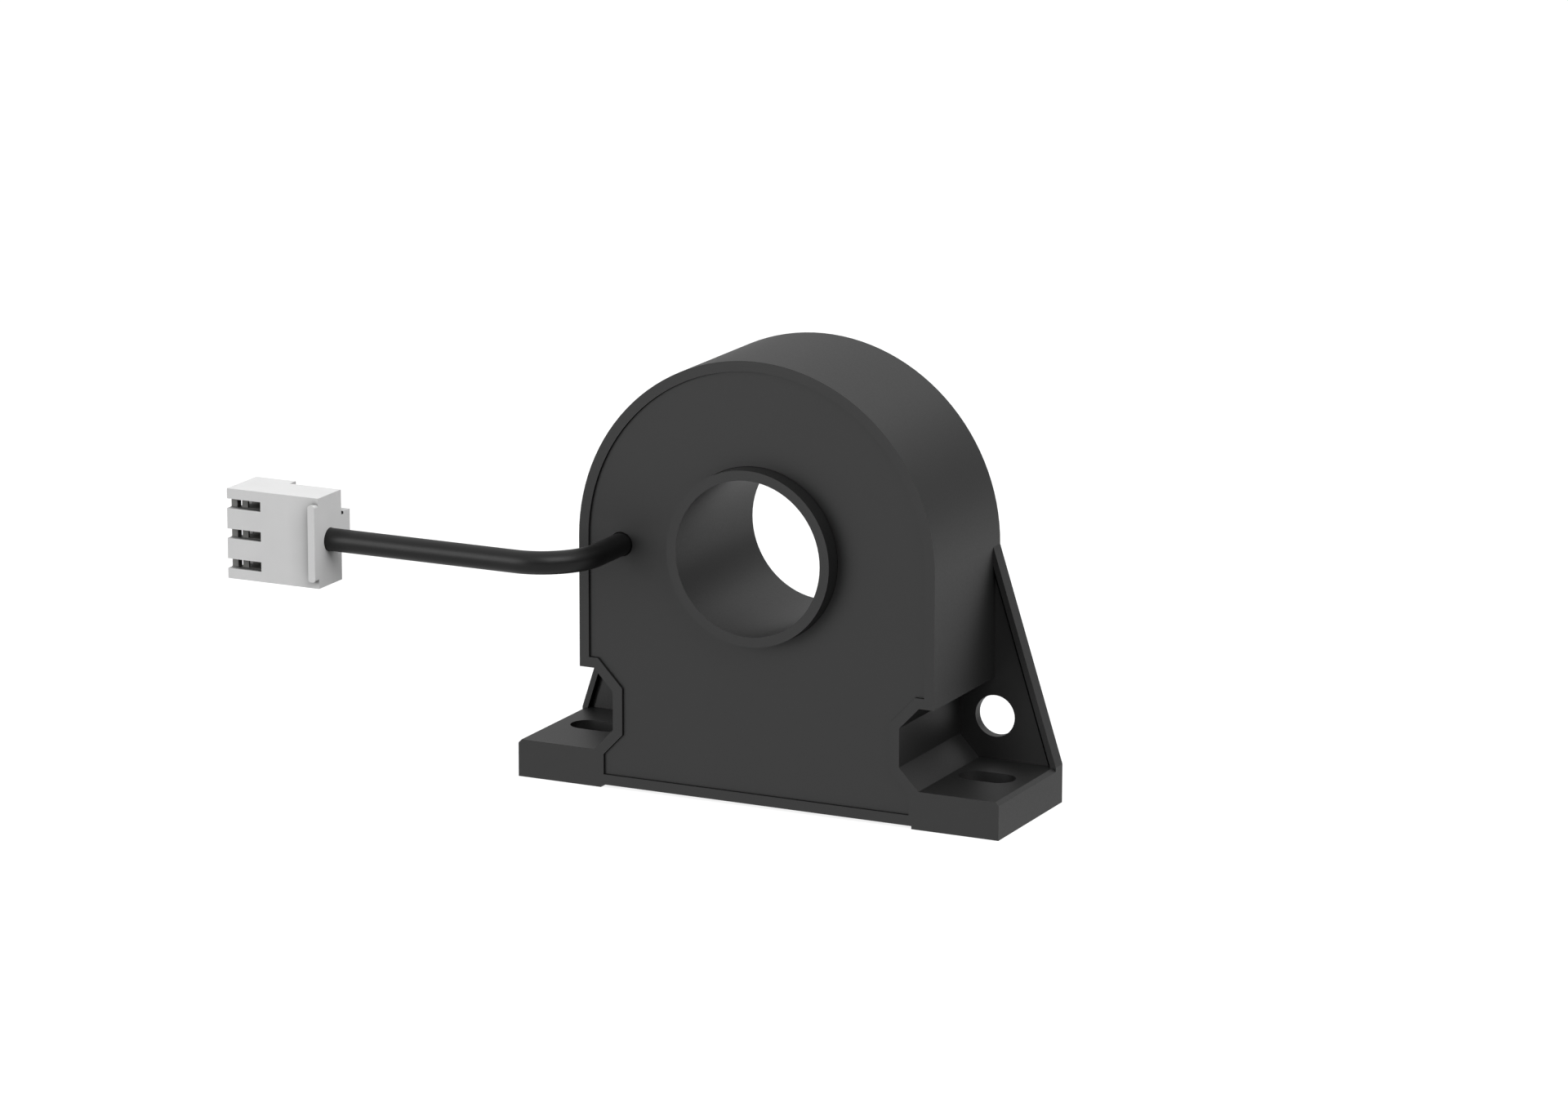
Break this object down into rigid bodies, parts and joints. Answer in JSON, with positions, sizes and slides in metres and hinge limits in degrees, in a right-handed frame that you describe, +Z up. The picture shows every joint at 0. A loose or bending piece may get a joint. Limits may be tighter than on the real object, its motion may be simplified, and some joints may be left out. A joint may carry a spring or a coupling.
{
  "type": "closed-loop hall current sensor",
  "caption": "Hall current sensor: moulded arch-topped case with a round through aperture, slotted feet with gussets, and a short round lead to a small slotted connector.",
  "frame": {"origin": "on the mounting plane under the feet, midway between the two foot slots", "axes": "+X along the feet, away from the lead's side; +Y from the front cover to the rear wall, along the aperture; +Z up from the mounting plane"},
  "size_m": [0.1015, 0.038, 0.0582],
  "materials": {
    "housing_plastic": "fine satin, dark grey",
    "connector_nylon": "smooth satin, off-white",
    "cable_jacket": "smooth, slightly glossy black",
    "core_steel": "wound strip, dull",
    "case_plastic": "matte natural",
    "copper_wire": "enamelled copper",
    "package_epoxy": "moulded epoxy, matte",
    "board_laminate": "solder mask, satin",
    "chip_ceramic": "matte with tinned ends",
    "capacitor_ceramic": "matte with tinned ends",
    "diode_glass": "glass with metal caps",
    "capacitor_can": "satin",
    "tie_nylon": "natural nylon",
    "contact_tin": "tinned bronze, bright",
    "core_insulation_red": "smooth",
    "core_insulation_black": "smooth",
    "core_insulation_white": "smooth"
  },
  "bodies": {
    "root": {"housing": "housing_plastic", "front_cover": "housing_plastic", "magnetic_core": "core_steel", "core_case_front": "case_plastic", "core_case_rear": "case_plastic", "compensation_winding": "copper_wire", "hall_element": "package_epoxy", "circuit_board": "board_laminate", "op_amp": "package_epoxy", "driver_transistor_1": "package_epoxy", "driver_transistor_2": "package_epoxy", "chip_resistors": "chip_ceramic", "chip_capacitors": "capacitor_ceramic", "protection_diode_1": "diode_glass", "protection_diode_2": "diode_glass", "supply_capacitor_1": "capacitor_can", "supply_capacitor_2": "capacitor_can", "cable_jacket": "cable_jacket", "cable_tie": "tie_nylon", "connector_housing": "connector_nylon", "contact_1": "contact_tin", "contact_2": "contact_tin", "contact_3": "contact_tin", "board_core_1": "core_insulation_red", "plug_core_1": "core_insulation_red", "board_core_2": "core_insulation_black", "plug_core_2": "core_insulation_black", "board_core_3": "core_insulation_white", "plug_core_3": "core_insulation_white"}
  },
  "joints": []
}
